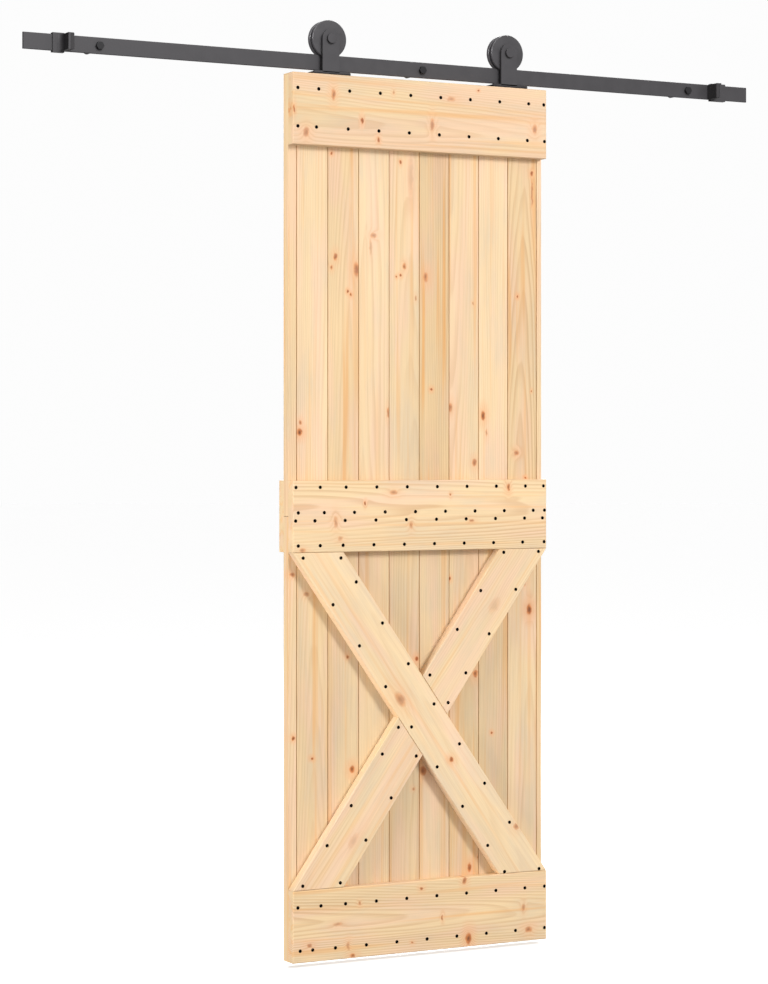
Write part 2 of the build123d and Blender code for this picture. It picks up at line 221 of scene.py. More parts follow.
def knotLayers(tree, space, centre, lean, knots):
    toBoard = Matrix.Rotation(lean, 3, "Y").inverted()
    layers = {}
    for x, z, wide, tall, strength in knots:
        spot = toBoard @ (Vector((x / 1000, centre[1], z / 1000)) - Vector(centre))
        if abs(math.sin(lean)) > 0.9:      # a level board runs along X
            wide, tall = tall, wide
        away = calcVector(tree, "SUBTRACT", space, (spot.x, 0, spot.z))
        away = calcVector(tree, "MULTIPLY", away, (1000 / wide, 0, 1000 / tall))
        far = calcVector(tree, "LENGTH", away)
        square = calc(tree, "MULTIPLY", calc(tree, "POWER", far, 2), -knot["swellFade"])
        push = knot["swell"] * wide * (knot["swellFloor"] + strength)
        new = {
            "swell": calc(tree, "MULTIPLY", calc(tree, "POWER", math.e, square), push),
            "body": calc(tree, "MULTIPLY", remap(tree, far, *knot["bodyReach"]),
                         min(1.0, strength * knot["bodyGain"])),
            "halo": calc(tree, "MULTIPLY", remap(tree, far, *knot["haloReach"]), strength),
            "heart": calc(tree, "MULTIPLY", remap(tree, far, *knot["heartReach"]),
                          min(1.0, strength * knot["heartGain"])),
        }
        for layer, value in new.items():
            join = "ADD" if layer == "swell" else "MAXIMUM"
            layers[layer] = calc(tree, join, layers[layer], value) if layer in layers else value
    return layers


def lateWood(tree, bent, shifted, pith, drift, swell):
    parts = addNode(tree, "ShaderNodeSeparateXYZ")
    plug(tree, bent, parts.inputs[0])
    along = parts.outputs["Z"]
    across, deep = (calc(tree, "SUBTRACT", parts.outputs[axis],
                         calc(tree, "MULTIPLY_ADD", along, slope, start))
                    for axis, slope, start in zip("XY", drift, pith))
    radius = calc(tree, "SQRT", calc(tree, "ADD", calc(tree, "MULTIPLY", across, across),
                                     calc(tree, "MULTIPLY", deep, deep)))
    if swell is not None:
        radius = calc(tree, "ADD", radius, swell)
    turns = calc(tree, "MULTIPLY", radius, 1 / growth["pitch"])
    turns = calc(tree, "MULTIPLY_ADD", cloud(tree, shifted, "pace")["Fac"], growth["crowding"], turns)
    ring = calc(tree, "FRACT", turns)
    late = calc(tree, "MULTIPLY", remap(tree, ring, *growth["darkens"]),
                remap(tree, ring, *growth["stops"]))
    uneven = remap(tree, cloud(tree, shifted, "uneven")["Fac"], *growth["unevenSpan"],
                   growth["faintest"], 1.0)
    return calc(tree, "MULTIPLY", late, uneven)


def clearWood(tree, shifted, fibre, late, rings, tone, warm):
    blush = remap(tree, cloud(tree, shifted, "blush")["Fac"], *pine["blushSpan"])
    colour = blendColour(tree, blush, pine["early"], pine["blush"])
    dull = remap(tree, cloud(tree, shifted, "dull")["Fac"], *pine["dullSpan"], 0.0, pine["dullShare"])
    colour = blendColour(tree, dull, colour, pine["grey"])
    colour = blendColour(tree, calc(tree, "MULTIPLY", late, rings), colour, pine["late"])
    streak = remap(tree, cloud(tree, shifted, "streak")["Fac"], *pine["streakSpan"])
    streak = calc(tree, "MULTIPLY", streak, pine["streakShare"] + warm)
    colour = blendColour(tree, streak, colour, pine["resin"])
    low, high = pine["patchShade"]
    shade = remap(tree, cloud(tree, shifted, "patch")["Fac"], *pine["patchSpan"], low * tone,
                  high * tone, False)
    hues = [calc(tree, "MULTIPLY", shade, 1.0 - loss * warm) for loss in pine["warmTint"]]
    colour = blendColour(tree, 1.0, colour, colourFrom(tree, hues), "MULTIPLY")
    thread = remap(tree, fibre, *pine["fibreSpan"], *pine["threadShade"], False)
    return blendColour(tree, 1.0, colour, colourFrom(tree, [thread] * 3), "MULTIPLY")


def knottyWood(tree, colour, layers, lump):
    halo = calc(tree, "MULTIPLY", layers["halo"], knot["haloShare"])
    colour = blendColour(tree, halo, colour, knot["halo"])
    core = blendColour(tree, remap(tree, lump, *knot["coreSpan"]), knot["edge"], knot["core"])
    colour = blendColour(tree, layers["body"], colour, core)
    cracks = remap(tree, lump, *knot["crackSpan"], knot["crackFloor"], 1.0)
    cracked = calc(tree, "MULTIPLY", layers["heart"], cracks)
    return blendColour(tree, cracked, colour, knot["heart"])


# painted shade: darkens the wood near each joint line, in place of the shade that falls in the V-groove
# between boards
def paintedGrooveShade(tree, colour, coords, seams):
    parts = addNode(tree, "ShaderNodeSeparateXYZ")
    plug(tree, coords, parts.inputs[0])
    gaps = [calc(tree, "ABSOLUTE", calc(tree, "SUBTRACT", parts.outputs["X"], seam))
            for seam in seams]
    near = remap(tree, calc(tree, "MINIMUM", *gaps), *pine["grooveShadeReach"], 1.0, 0.0)
    return blendColour(tree, near, colour, pine["seamGroovePaintedShade"], "MULTIPLY")


def pineBoard(name, centre, seed, lean=0.0, tone=1.0, warm=0.0, rings=0.3, pith=(0.02, 0.07),
              drift=(0.004, 0.015), knots=(), seams=()):
    finish, tree, shader = newFinish(name)
    coords = addNode(tree, "ShaderNodeTexCoord").outputs["Object"]
    place = addNode(tree, "ShaderNodeMapping", vector_type="TEXTURE")
    plug(tree, coords, place.inputs["Vector"])
    place.inputs["Location"].default_value = centre
    place.inputs["Rotation"].default_value = (0, lean, 0)   # length of the board becomes Z
    local = place.outputs["Vector"]
    shifted = calcVector(tree, "ADD", local, [seed * step for step in pine["seedStep"]])
    bent = strayed(tree, local, cloud(tree, shifted, "wander")["Color"], growth["wander"])
    lump = cloud(tree, shifted, "knotwood")
    knotSpace = strayed(tree, local, lump["Color"], knot["ragged"])
    layers = knotLayers(tree, knotSpace, centre, lean, knots)
    late = lateWood(tree, bent, shifted, pith, drift, layers.get("swell"))
    fibre = cloud(tree, shifted, "fibre")["Fac"]

    colour = clearWood(tree, shifted, fibre, late, rings, tone, warm)
    if layers:
        colour = knottyWood(tree, colour, layers, lump["Fac"])
    # painted shade along the board joints
    if seams:
        colour = paintedGrooveShade(tree, colour, coords, seams)
    plug(tree, colour, shader.inputs["Base Color"])
    plug(tree, remap(tree, fibre, *pine["fibreSpan"], *pine["roughness"]), shader.inputs["Roughness"])
    shader.inputs["Specular IOR Level"].default_value = pine["sheen"]
    bump = addNode(tree, "ShaderNodeBump")
    bump.inputs["Strength"].default_value = pine["bumpStrength"]
    bump.inputs["Distance"].default_value = pine["bump"]
    plug(tree, calc(tree, "MULTIPLY_ADD", late, pine["reliefOfRings"], fibre), bump.inputs["Height"])
    plug(tree, bump.outputs["Normal"], shader.inputs["Normal"])
    return finish


def middleOf(nodeName):
    low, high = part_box(nodeName)
    return tuple((low + high) / 2)


# a knot: x and z on the door, half width and half height in mm, strength
boardLooks = {
    "upper_board_1": dict(tone=0.98, warm=0.5, pith=(0.05, 0.03)),
    "upper_board_2": dict(tone=1.03, warm=0.1, pith=(0.06, 0.05), drift=(0.01, 0.004),
                          knots=[(-330, -878, 7, 9, 0.9), (-328, -854, 4, 6, 0.55)]),
    "upper_board_3": dict(tone=0.96, warm=0.45, pith=(0.015, 0.06), drift=(0.012, 0.02),
                          knots=[(-245, -213, 3, 4, 0.8), (-235, -460, 5, 9, 0.6),
                                 (-245, -485, 4, 6, 0.55), (-178, -488, 8, 18, 0.55),
                                 (-202, -540, 2.5, 4, 0.9), (-193, -548, 3, 5, 0.8)]),
    "upper_board_4": dict(tone=1.03, warm=0.0, pith=(-0.03, 0.09), drift=(0.01, 0.012),
                          knots=[(-132, -405, 9, 6, 0.35), (-140, -432, 4, 22, 0.2),
                                 (-92, -829, 3, 12, 0.5)]),
    "upper_board_5": dict(tone=0.97, warm=0.2, pith=(0.02, 0.06), drift=(-0.012, 0.018),
                          knots=[(-58, -226, 2.5, 5, 0.7), (-47, -476, 5, 8, 0.55),
                                 (-58, -498, 3, 4, 0.85), (-69, -503, 2, 3, 0.9),
                                 (-16, -552, 3, 6, 0.35), (-30, -262, 9, 55, 0.16)]),
    "upper_board_6": dict(tone=0.88, warm=0.75, rings=0.5, pith=(0.07, 0.04), drift=(0.006, 0.004),
                          knots=[(12, -500, 7, 12, 0.5), (27, -772, 3.5, 4, 0.9)]),
    "upper_board_7": dict(tone=1.01, warm=0.25, pith=(-0.05, 0.07), drift=(0.01, -0.015),
                          knots=[(81, -816, 5, 11, 0.5), (145, -561, 3, 5, 0.35),
                                 (148, -950, 6, 9, 0.55)]),
    "upper_board_8": dict(tone=1.04, warm=0.0, pith=(0.06, 0.06), drift=(-0.006, 0.006),
                          knots=[(173, -835, 6, 12, 0.85), (183, -877, 3, 10, 0.35)]),
    "upper_board_9": dict(tone=0.92, warm=0.6, rings=0.55, pith=(0.0, 0.045), drift=(0.02, 0.03),
                          knots=[(312, -235, 4, 7, 0.8), (313, -285, 3, 38, 0.4),
                                 (271, -540, 3, 4, 0.9), (268, -926, 8, 7, 0.5),
                                 (294, -987, 3, 3, 0.9), (312, -774, 2, 3, 0.7)]),
    "upper_board_10": dict(tone=1.02, warm=0.2, pith=(0.05, 0.05)),
    "lower_board_1": dict(tone=1.0, warm=0.2, pith=(0.03, 0.05),
                          knots=[(-349, -1214, 8, 5, 0.5), (-347, -1601, 4, 5, 0.85)]),
    "lower_board_2": dict(tone=0.95, warm=0.35, pith=(0.0, 0.05), drift=(0.008, 0.03),
                          knots=[(-312, -1262, 8, 6, 0.35), (-297, -1651, 4, 4, 0.8)]),
    "lower_board_3": dict(tone=0.93, warm=0.2, pith=(0.05, 0.06), drift=(-0.01, 0.01),
                          knots=[(-202, -1413, 4, 5, 0.55), (-190, -1683, 7, 10, 0.75)]),
    "lower_board_4": dict(tone=0.95, warm=0.15, pith=(-0.05, 0.05), drift=(0.006, 0.006)),
    "lower_board_5": dict(tone=0.92, warm=0.3, pith=(0.04, 0.08), drift=(0.01, 0.01),
                          knots=[(-22, -1740, 4, 4, 0.4), (-14, -1424, 4, 6, 0.85)]),
    "lower_board_6": dict(tone=0.96, warm=0.2, pith=(0.07, 0.04), drift=(0.004, 0.005),
                          knots=[(4, -1696, 9, 12, 0.6)]),
    "lower_board_7": dict(tone=0.91, warm=0.4, pith=(0.01, 0.05), drift=(0.015, 0.02),
                          knots=[(79, -1233, 3, 5, 0.8), (134, -1940, 6, 12, 0.7),
                                 (151, -1467, 7, 10, 0.65), (160, -1918, 3, 4, 0.5)]),
    "lower_board_8": dict(tone=0.92, warm=0.3, pith=(-0.06, 0.06), drift=(0.008, -0.008),
                          knots=[(197, -1614, 3, 4, 0.8)]),
    "lower_board_9": dict(tone=0.99, warm=0.1, pith=(0.02, 0.07), drift=(0.01, 0.02),
                          knots=[(305, -1314, 8, 14, 0.9), (292, -1250, 3, 8, 0.3)]),
    "lower_board_10": dict(tone=1.0, warm=0.4, pith=(0.05, 0.04)),
}
braceRun, braceRise = -0.565, 0.797        # along the long brace's middle line
braceLean = math.atan2(braceRun, braceRise)
railLooks = {
    "top_rail": dict(lean=math.pi / 2, tone=0.96, warm=0.3, rings=0.36, pith=(0.03, 0.06),
                     drift=(0.03, 0.02),
                     knots=[(-253, -77, 6, 14, 0.5), (-357, -116, 3, 9, 0.6),
                            (-325, -169, 8, 12, 0.42), (-176, -134, 3.5, 8, 0.8),
                            (-132, -177, 4, 6, 0.65), (-91, -62, 3, 6, 0.35),
                            (16, -133, 6, 16, 0.4), (69, -68, 12, 6, 0.3),
                            (145, -42, 2.5, 2.5, 0.8), (305, -128, 7, 12, 0.4)]),
    "middle_rail": dict(lean=math.pi / 2, tone=1.03, warm=0.2, rings=0.5, pith=(-0.02, 0.08),
                        drift=(-0.02, 0.02),
                        knots=[(-91, -1022, 10, 6, 0.4), (67, -1028, 3, 4, 0.55),
                               (230, -1011, 5, 10, 0.65), (-167, -1047, 2.5, 5, 0.8),
                               (-247, -1092, 6, 14, 0.33), (-234, -1130, 7, 6, 0.3),
                               (-42, -1101, 5, 10, 0.35), (125, -1091, 7, 4, 0.4),
                               (-335, -1157, 8, 5, 0.4)]),
    "bottom_rail": dict(lean=math.pi / 2, tone=1.0, warm=0.3, rings=0.6, pith=(0.0, 0.05),
                        drift=(0.04, 0.03),
                        knots=[(-14, -1977, 5, 4, 0.6), (106, -1967, 6, 10, 0.55),
                               (-183, -2000, 4, 5, 0.4), (117, -2109, 8, 14, 0.8),
                               (288, -2101, 10, 8, 0.5), (273, -2046, 5, 10, 0.35),
                               (44, -2052, 3, 7, 0.5), (-316, -2089, 8, 5, 0.45),
                               (-202, -2123, 8, 5, 0.6), (-213, -2098, 5, 10, 0.3),
                               (-40, -2106, 4, 3, 0.5), (-240, -2045, 12, 5, 0.28)]),
    "rear_batten": dict(lean=math.pi / 2, tone=1.0, warm=0.2, pith=(0.02, -0.07), drift=(0.02, 0.02),
                        knots=[(-150, -1040, 6, 9, 0.6), (180, -1110, 5, 6, 0.8)]),
    "long_brace": dict(lean=braceLean, tone=1.05, warm=0.0, rings=0.15, pith=(0.01, 0.07),
                       drift=(0.01, 0.02),
                       knots=[(-72, -1519, 12, 20, 0.4), (69, -1671, 6, 7, 0.7),
                              (253, -1845, 8, 8, 0.4)]),
    "short_brace_upper": dict(lean=-braceLean, tone=1.02, warm=0.05, pith=(0.05, 0.06),
                              drift=(0.01, 0.01), knots=[(190, -1300, 14, 22, 0.14)]),
    "short_brace_lower": dict(lean=-braceLean, tone=1.02, warm=0.05, pith=(0.05, 0.06),
                              drift=(0.01, 0.01), knots=[(-200, -1850, 10, 22, 0.15)]),
}

paint = {
    "mottleScale": 35,
    "mottleSpan": (0.3, 0.7),
    "roughSpread": 0.04,
    "shadeSpread": 0.12,
    "bumpStrength": 0.35,
}


def coat(name, colour, rough, metal=0.0, spec=0.5, grainSize=900.0, grainDepth=0.00004):
    finish, tree, shader = newFinish(name)
    coords = addNode(tree, "ShaderNodeTexCoord").outputs["Object"]
    mottle = noise(tree, coords, paint["mottleScale"], 3).outputs["Fac"]
    grain = noise(tree, coords, grainSize).outputs["Fac"]
    dark, light = (rgb(*(channel * share for channel in colour[:3]))
                   for share in (1 - paint["shadeSpread"], 1 + paint["shadeSpread"]))
    plug(tree, blendColour(tree, mottle, dark, light), shader.inputs["Base Color"])
    smooth, dry = rough - paint["roughSpread"], rough + paint["roughSpread"]
    plug(tree, remap(tree, mottle, *paint["mottleSpan"], smooth, dry), shader.inputs["Roughness"])
    shader.inputs["Metallic"].default_value = metal
    shader.inputs["Specular IOR Level"].default_value = spec
    bump = addNode(tree, "ShaderNodeBump")
    bump.inputs["Strength"].default_value = paint["bumpStrength"]
    bump.inputs["Distance"].default_value = grainDepth
    plug(tree, grain, bump.inputs["Height"])
    plug(tree, bump.outputs["Normal"], shader.inputs["Normal"])
    return finish


powder = coat("satin_powder_coat", rgb(0.063, 0.0595, 0.064), 0.48, metal=0.15, spec=0.45)
darkSteel = coat("black_oxide_steel", rgb(0.017, 0.016, 0.018), 0.45, metal=0.1, spec=0.35)
wheelCoat = coat("satin_roller_coat", rgb(0.058, 0.055, 0.059), 0.36, metal=0.2, spec=0.6)
screwBlack = coat("black_screw_finish", rgb(0.006, 0.004, 0.0035), 0.8, spec=0.03)
rubberSkin = coat("bumper_rubber", rgb(0.052, 0.049, 0.052), 0.7, spec=0.25, grainSize=500)
groundSteel = coat("ground_steel", rgb(0.50, 0.50, 0.51), 0.28, metal=1.0, grainDepth=0.00002)


def pieceFrom(shape, name, finish, body, stands, smoothAngle=40):
    mesh = bpy.data.meshes.new(name)
    shape.to_mesh(mesh)
    shape.free()
    mesh.shade_smooth()
    mesh.set_sharp_from_angle(angle=math.radians(smoothAngle))
    piece = bpy.data.objects.new(name, mesh)
    bpy.context.scene.collection.objects.link(piece)
    mesh.materials.append(finish)
    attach(piece, body)
    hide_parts(stands)
    even = piece.modifiers.new("even_normals", "WEIGHTED_NORMAL")
    even.keep_sharp = True


weldReach = 0.000002
flatWithin = math.radians(0.6)
roundOver = math.radians(32)               # sharper corners than this are rounded
softAngle = 60


def mergedCopy(nodeName):
    shape = bmesh.new()
    shape.from_mesh(nodes[nodeName].data)
    bmesh.ops.remove_doubles(shape, verts=shape.verts, dist=weldReach)
    return shape


def flattened(nodeName):
    shape = mergedCopy(nodeName)
    bmesh.ops.dissolve_limit(shape, angle_limit=flatWithin, verts=shape.verts, edges=shape.edges)
    return shape


def roundCorners(shape, edge, steps):
    corners = [e for e in shape.edges
               if len(e.link_faces) == 2 and e.calc_face_angle() > roundOver]
    bmesh.ops.bevel(shape, geom=corners, offset=edge, offset_type="OFFSET", segments=steps,
                    profile=0.5, affect="EDGES", material=-1, clamp_overlap=True)


def softened(nodeName, name, finish, body, edge, steps):
    shape = flattened(nodeName)            # the CAD shape with its arrises rounded
    roundCorners(shape, edge, steps)
    pieceFrom(shape, name, finish, body, nodeName, softAngle)


def turned(size, x, y, z):
    shape = bmesh.new()                    # outline points are radius and depth towards the wall, mm
    ring = [shape.verts.new((x + radius / 1000, y + depth / 1000, z))
            for radius, depth in size["outline"]]
    lines = [shape.edges.new(pair) for pair in zip(ring, ring[1:])]
    if size["outline"][0][0] > 0:          # a hollow turning, so its outline closes
        lines.append(shape.edges.new((ring[-1], ring[0])))
    bmesh.ops.spin(shape, geom=ring + lines, cent=(x, y, z), axis=(0, 1, 0), angle=math.tau,
                   steps=size["segments"], use_merge=True)
    bmesh.ops.remove_doubles(shape, verts=shape.verts, dist=weldReach)
    bmesh.ops.recalc_face_normals(shape, faces=shape.faces)
    roundCorners(shape, size["edge"], size["steps"])
    return shape


def islandsOf(nodeName):
    shape = mergedCopy(nodeName)           # a box for each separate solid of the node
    seen = set()
    spots = []
    for start in shape.verts:
        if start in seen:
            continue
        seen.add(start)
        island = [start]
        for vert in island:                # grows while it is walked
            fresh = {other for link in vert.link_edges for other in link.verts} - seen
            seen |= fresh
            island.extend(fresh)
        spots.append([(min(v.co[axis] for v in island), max(v.co[axis] for v in island))
                      for axis in range(3)])
    shape.free()
    return spots


boards = {
    "edge": 0.0006,
    "steps": 2,
    "firstSeam": -0.338,                   # between the narrow left strip and the first full board
    "pitch": 0.083,
}


def seamsOf(nodeName):
    place = int(nodeName.rsplit("_", 1)[1])
    right = boards["firstSeam"] + boards["pitch"] * (place - 1)
    return (right - boards["pitch"], right)


seeds = count(1)
for nodeName, look in boardLooks.items():
    finish = pineBoard("pine_" + nodeName, middleOf(nodeName), next(seeds), seams=seamsOf(nodeName),
                       **look)
    softened(nodeName, nodeName + "_planed", finish, "door",
             boards["edge"], boards["steps"])
print("boards finished")

rails = {"edge": 0.0009, "steps": 3}
for nodeName, look in railLooks.items():
    finish = pineBoard("pine_" + nodeName, middleOf(nodeName), next(seeds), **look)
    softened(nodeName, nodeName + "_planed", finish, "door",
             rails["edge"], rails["steps"])
print("rails and braces finished")

woodScrew = {
    "radius": 0.0043,
    "shank": 0.0018,
    "headDepth": 0.0025,
    "length": 0.041,
    "sides": 16,
    "rimWidth": 0.0006,
    "rimHeight": 0.0006,                   # how far the head's flat stands over the arris
    "landWidth": 0.0012,
    "recessDepth": 0.0005,                 # stays in front of the uncut wood
    "recessTaper": 0.00003,
    "waist": 0.42,                         # the cross recess between its arms
    "sink": 0.0002,
    "twist": 1.1,                          # each cross stands at its own angle
    "smoothAngle": 30,
}
plateScrew = dict(woodScrew, radius=0.0044, shank=0.0025, headDepth=0.0019, length=0.039,
                  rimHeight=0.0002, landWidth=0.0013, recessDepth=0.0016)


def heightOf(face):
    return face.calc_center_median().z


def crossHead(size):
    shape = bmesh.new()                    # a countersunk head on its shank, pointing down
    bmesh.ops.create_cone(shape, cap_ends=True, segments=size["sides"], radius1=size["shank"],
                          radius2=size["radius"], depth=size["headDepth"])
    bmesh.ops.translate(shape, verts=shape.verts, vec=(0, 0, -size["headDepth"] / 2))
    neck = min(shape.faces, key=heightOf)
    tip = bmesh.ops.extrude_discrete_faces(shape, faces=[neck])["faces"][0]
    bmesh.ops.translate(shape, verts=tip.verts, vec=(0, 0, size["headDepth"] - size["length"]))
    top = max(shape.faces, key=heightOf)
    bmesh.ops.inset_individual(shape, faces=[top], thickness=size["rimWidth"],
                               depth=size["rimHeight"])
    bmesh.ops.inset_individual(shape, faces=[top], thickness=size["landWidth"], depth=0)
    between = [vert for place, vert in enumerate(top.verts) if place % (size["sides"] // 4)]
    bmesh.ops.scale(shape, vec=(size["waist"], size["waist"], 1), verts=between)
    bmesh.ops.inset_individual(shape, faces=[top], thickness=size["recessTaper"],
                               depth=-size["recessDepth"])
    screw = bpy.data.meshes.new("one_screw")
    shape.to_mesh(screw)
    shape.free()
    return screw


def screwRow(nodeName, size, turn, place):
    screw = crossHead(size)                # one screw, set down at each of the node's places
    shape = bmesh.new()
    for turns, spot in enumerate(islandsOf(nodeName)):
        before = set(shape.verts)
        shape.from_mesh(screw)
        fresh = [vert for vert in shape.verts if vert not in before]
        bmesh.ops.rotate(shape, verts=fresh, cent=(0, 0, 0),
                         matrix=turn @ Matrix.Rotation(turns * size["twist"], 3, "Z"))
        bmesh.ops.translate(shape, verts=fresh, vec=place(spot))
    bpy.data.meshes.remove(screw)
    pieceFrom(shape, nodeName.replace("screws", "screw_heads"), screwBlack, "door",
              nodeName, size["smoothAngle"])


def faceOut(spot):
    (lowX, highX), (front, _), (lowZ, highZ) = spot
    return ((lowX + highX) / 2, front + woodScrew["sink"], (lowZ + highZ) / 2)


def faceUp(spot):
    (lowX, highX), (lowY, highY), (_, top) = spot
    return ((lowX + highX) / 2, (lowY + highY) / 2, top - plateScrew["sink"])


toFront = Matrix.Rotation(math.pi / 2, 3, "X")
for nodeName in ("top_rail_screws", "middle_rail_screws", "bottom_rail_screws", "brace_screws"):
    screwRow(nodeName, woodScrew, toFront, faceOut)
screwRow("hanger_screws", plateScrew, Matrix.Identity(3), faceUp)
print("screws set")

bar = {"edge": 0.0007, "steps": 3}
softened("track_bar", "track_bar_rolled", powder, "track", bar["edge"], bar["steps"])

wallFixings = {"tubeEdge": 0.0008, "boltEdge": 0.0011, "steps": 3}
for side in ("left", "middle", "right"):
    softened("standoff_" + side, "standoff_tube_" + side, powder, "track",
             wallFixings["tubeEdge"], wallFixings["steps"])
softened("lag_bolts", "lag_bolt_heads", darkSteel, "track",
         wallFixings["boltEdge"], wallFixings["steps"])

endStop = {"edge": 0.0009, "bumperEdge": 0.0012, "steps": 3, "grubEdge": 0.0003, "grubSteps": 2}
for side in ("left", "right"):
    softened("stop_bracket_" + side, "stop_clamp_" + side, powder, "track",
             endStop["edge"], endStop["steps"])
    softened("stop_bumper_" + side, "stop_pad_" + side, rubberSkin, "track",
             endStop["bumperEdge"], endStop["steps"])
softened("stop_grub_screws", "stop_clamp_grubs", darkSteel, "track",
         endStop["grubEdge"], endStop["grubSteps"])
print("track finished")

# outlines are radius and depth from the front face in mm
roller = {
    "outline": [(13, 0), (45, 0), (45, 7), (37, 7), (37, 15), (45, 15), (45, 26), (32, 26),
                (16, 18), (16, 8), (13, 8)],
    "edge": 0.0016,
    "steps": 3,
    "segments": 96,
}
bearing = {
    "outline": [(6.05, 0), (8.6, 0), (8.6, 0.6), (13.5, 0.6), (13.5, 0), (15.98, 0),
                (15.98, 10), (13.5, 10), (13.5, 9.4), (8.6, 9.4), (8.6, 10), (6.05, 10)],
    "edge": 0.00022,
    "steps": 3,
    "segments": 72,
}
axle = {
    "outline": [(0, 0), (11.5, 0), (11.5, 6), (6, 6), (6, 44.1), (0, 44.1)],
    "edge": 0.0008,
    "steps": 3,
    "segments": 48,
    "nutEdge": 0.0011,
}
hanger = {
    "edge": 0.0009,
    "steps": 3,
    "plateWidth": 0.100,
    "plateThickness": 0.006,
    "plateShift": 0.0035,                  # the plate's middle stands right of the strap's
    "strapThickness": 0.006,
    "lipHeight": 0.0019,                   # raised front lip of the plate
    "lipInset": 0.002,
    "lipSeat": 0.001,
    "footShadowHeight": 0.0034,                    # painted contact shadow along the lower edge of the plate's rim, where it sits on the door
    "footShadowFade": 0.0008,
    "footShadowColour": rgb(0.008, 0.007, 0.007),
}


def hangerStrap(side, x, finish):
    name = "hanger_" + side
    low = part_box(name)[0]
    shape = flattened(name)
    lip = bmesh.ops.create_cube(shape, size=1)["verts"]
    bmesh.ops.scale(shape, vec=(hanger["plateWidth"] - 2 * hanger["lipInset"], hanger["strapThickness"],
                                hanger["lipHeight"] + hanger["lipSeat"]), verts=lip)
    middle = low.z + hanger["plateThickness"] + (hanger["lipHeight"] - hanger["lipSeat"]) / 2
    bmesh.ops.translate(shape, verts=lip, vec=(x + hanger["plateShift"],
                                               low.y + hanger["strapThickness"] / 2, middle))
    roundCorners(shape, hanger["edge"], hanger["steps"])
    pieceFrom(shape, "hanger_strap_" + side, finish, "door", name, softAngle)


# the powder coat with a painted contact shadow along the plate's lower edge
def strapFinishWithPaintedShadow():
    finish = powder.copy()
    finish.name = "strap_powder_coat_painted_shadow"
    tree = finish.node_tree
    shader = next(n for n in tree.nodes if n.type == "BSDF_PRINCIPLED")
    under = shader.inputs["Base Color"].links[0].from_socket
    parts = addNode(tree, "ShaderNodeSeparateXYZ")
    plug(tree, addNode(tree, "ShaderNodeTexCoord").outputs["Object"], parts.inputs[0])
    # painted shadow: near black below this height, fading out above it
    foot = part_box("hanger_left")[0].z + hanger["footShadowHeight"]
    edge = remap(tree, parts.outputs["Z"], foot, foot + hanger["footShadowFade"], 1.0, 0.0)
    plug(tree, blendColour(tree, edge, under, hanger["footShadowColour"]), shader.inputs["Base Color"])
    return finish


strapCoatWithPaintedShadow = strapFinishWithPaintedShadow()
axlePair = bmesh.new()
oneAxle = bpy.data.meshes.new("one_axle")
for side in ("left", "right"):
    low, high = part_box("wheel_" + side)
    x, z = (low.x + high.x) / 2, (low.z + high.z) / 2
    pieceFrom(turned(roller, x, low.y, z), "roller_" + side, wheelCoat, "wheel_" + side,
              "wheel_" + side)
    pieceFrom(turned(bearing, x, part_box("bearing_" + side)[0].y, z), "bearing_rings_" + side,
              groundSteel, "wheel_" + side, "bearing_" + side)
    bolt = turned(axle, x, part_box("axle_bolts")[0].y, z)
    bolt.to_mesh(oneAxle)
    bolt.free()
    axlePair.from_mesh(oneAxle)
    hangerStrap(side, x, strapCoatWithPaintedShadow)
bpy.data.meshes.remove(oneAxle)
pieceFrom(axlePair, "axle_bolt_heads", powder, "door", "axle_bolts")
softened("axle_nuts", "axle_nut_hexes", darkSteel, "door",
         axle["nutEdge"], axle["steps"])
spacerFinish = nodes["axle_spacers"].data.materials   # plain tubes, kept as they are
spacerFinish.clear()
spacerFinish.append(darkSteel)
print("rollers and hangers finished")


studio = {
    "floorDrop": 0.012,                    # the leaf hangs this far over the floor
    "floorRadius": 60.0,
    "floorDull": rgb(0.85, 0.85, 0.85),
    "floorColour": rgb(0.86, 0.86, 0.86),
    "floorMottle": 6,
    "floorRough": 0.9,
    "floorSheen": 0.1,
    "floorGlow": 0.55,                     # keeps the far floor as pale as the air
    "worldFront": 0.65,
    "worldBack": 0.05,
    "backTowards": (-0.85, 0.53),          # x and y of the dark side, on the left and a bit behind
    "backSpan": (0.05, 0.75),
    "worldUnder": 0.80,                    # share of it that comes from below
    "underSpan": (-0.7, 0.1),
    "worldSeen": 0.98,
}


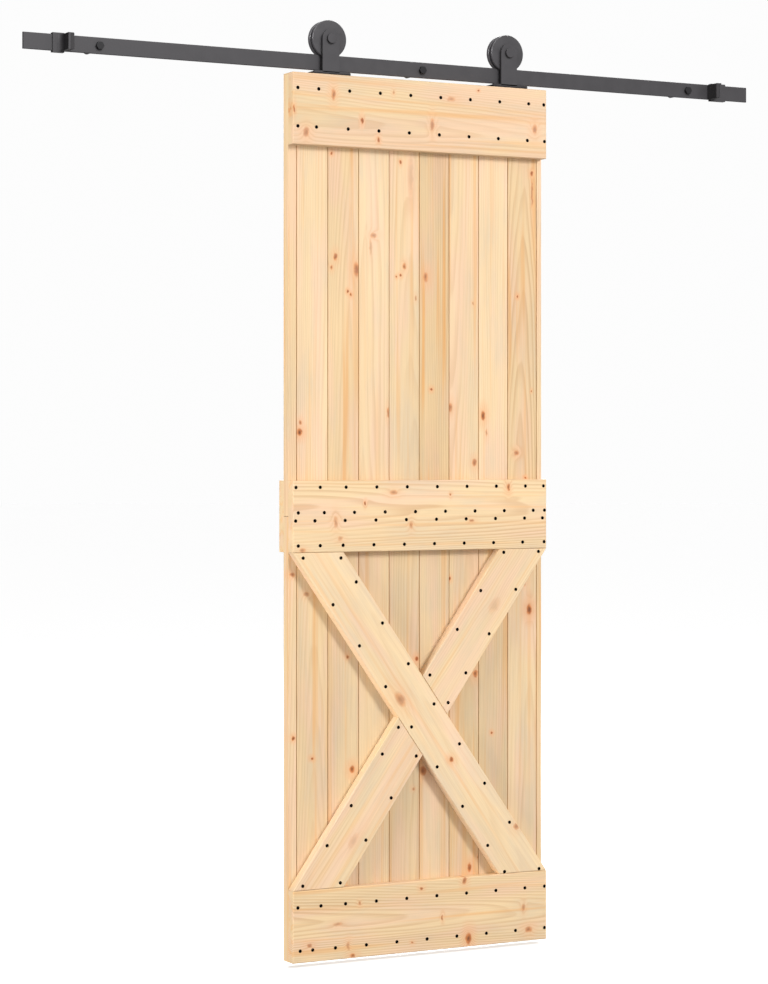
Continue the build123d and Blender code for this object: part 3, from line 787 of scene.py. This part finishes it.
def makeFloor():
    shape = bmesh.new()
    bmesh.ops.create_circle(shape, cap_ends=True, segments=96, radius=studio["floorRadius"])
    bmesh.ops.translate(shape, vec=(0, 0, cadLow.z - studio["floorDrop"]), verts=shape.verts)
    mesh = bpy.data.meshes.new("studio_floor")
    shape.to_mesh(mesh)
    shape.free()
    floor = bpy.data.objects.new("studio_floor", mesh)
    bpy.context.scene.collection.objects.link(floor)
    finish, tree, shader = newFinish("floor_paper")
    coords = addNode(tree, "ShaderNodeTexCoord").outputs["Object"]
    mottle = noise(tree, coords, studio["floorMottle"]).outputs["Fac"]
    plug(tree, blendColour(tree, mottle, studio["floorDull"], studio["floorColour"]),
         shader.inputs["Base Color"])
    shader.inputs["Roughness"].default_value = studio["floorRough"]
    shader.inputs["Specular IOR Level"].default_value = studio["floorSheen"]
    shader.inputs["Emission Color"].default_value = rgb(1, 1, 1)
    shader.inputs["Emission Strength"].default_value = studio["floorGlow"]
    mesh.materials.append(finish)
    floor.visible_diffuse = False          # no bounce, so undersides stay in shade
    floor.visible_glossy = False
    floor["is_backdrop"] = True


def makeWorld():
    world = bpy.data.worlds.new("studio_air")
    bpy.context.scene.world = world
    world.use_nodes = True
    tree = world.node_tree
    back = next(n for n in tree.nodes if n.type == "BACKGROUND")
    parts = addNode(tree, "ShaderNodeSeparateXYZ")
    plug(tree, addNode(tree, "ShaderNodeTexCoord").outputs["Generated"], parts.inputs[0])
    towardsX, towardsY = studio["backTowards"]
    tilt = calc(tree, "MULTIPLY_ADD", parts.outputs["X"], towardsX,
                calc(tree, "MULTIPLY", parts.outputs["Y"], towardsY))
    level = remap(tree, tilt, *studio["backSpan"], studio["worldFront"], studio["worldBack"])
    low = remap(tree, parts.outputs["Z"], *studio["underSpan"], studio["worldUnder"], 1.0)
    level = calc(tree, "MULTIPLY", level, low)
    seen = addNode(tree, "ShaderNodeLightPath").outputs["Is Camera Ray"]
    shown = calc(tree, "MULTIPLY_ADD", seen, calc(tree, "SUBTRACT", studio["worldSeen"], level), level)
    back.inputs["Color"].default_value = rgb(1, 1, 1)
    plug(tree, shown, back.inputs["Strength"])


makeFloor()
makeWorld()
lit = {
    "wood": [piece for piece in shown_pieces() if "_planed" in piece.name],
    "steel and floor": [thing for thing in bpy.context.scene.objects
                        if thing.type == "MESH" and "_planed" not in thing.name],
    "rollers": [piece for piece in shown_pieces() if "roller" in piece.name],
}
softboxes = {
    "wood_softbox": dict(place=(4.6, -6.8, 2.6), aim=(0, 0, -1.0), size=(2.2, 2.2), power=545,
                         lights="wood"),
    "steel_softbox": dict(place=(-0.1, -6.2, 3.4), aim=(0, 0, -1.0), size=(3.0, 3.0), power=350,
                          lights="steel and floor"),
    "fill_softbox": dict(place=(-6.0, -1.1, -0.8), aim=(0, 0, -1.1), size=(2.5, 3.5), power=430,
                         lights="wood"),
    "rim_softbox": dict(place=(-5.0, -0.8, 1.6), aim=(0, 0, 0), size=(1.2, 1.2), power=420,
                        lights="rollers"),
    "rear_softbox": dict(place=(3.5, 4.5, 3.5), aim=(0, 0, -1.0), size=(2.5, 2.5), power=260,
                         lights="all"),
}


def addSoftbox(name, place, aim, size, power, lights):
    lamp = bpy.data.lights.new(name, "AREA")
    lamp.shape = "RECTANGLE"
    lamp.size, lamp.size_y = size
    lamp.energy = power
    lampObject = bpy.data.objects.new(name, lamp)
    lampObject.location = place
    lampObject.rotation_euler = (Vector(aim) - Vector(place)).to_track_quat("-Z", "Y").to_euler()
    lampObject.visible_camera = False
    bpy.context.scene.collection.objects.link(lampObject)
    if lights in lit:                      # the rear one lights everything
        group = bpy.data.collections.new(name + "_reach")
        for thing in lit[lights]:
            group.objects.link(thing)
        lampObject.light_linking.receiver_collection = group


for name, softbox in softboxes.items():
    addSoftbox(name, **softbox)
bpy.context.scene.view_settings.view_transform = "Standard"

photoView = {
    "sensor": 36,
    "lens": 99.62,
    "lift": -0.0387,                       # lens shift that sets the framing
    "place": (-3.210, -5.841, -0.929),
    "turn": math.radians(-28.32),
}
camera = bpy.data.cameras.new("photo_camera")
camera.sensor_width = photoView["sensor"]
camera.lens = photoView["lens"]
camera.shift_y = photoView["lift"]
cameraObject = bpy.data.objects.new("photo_camera", camera)
cameraObject.location = photoView["place"]
cameraObject.rotation_euler = (math.pi / 2, 0, photoView["turn"])
bpy.context.scene.collection.objects.link(cameraObject)
bpy.context.scene.camera = cameraObject
print("studio ready")
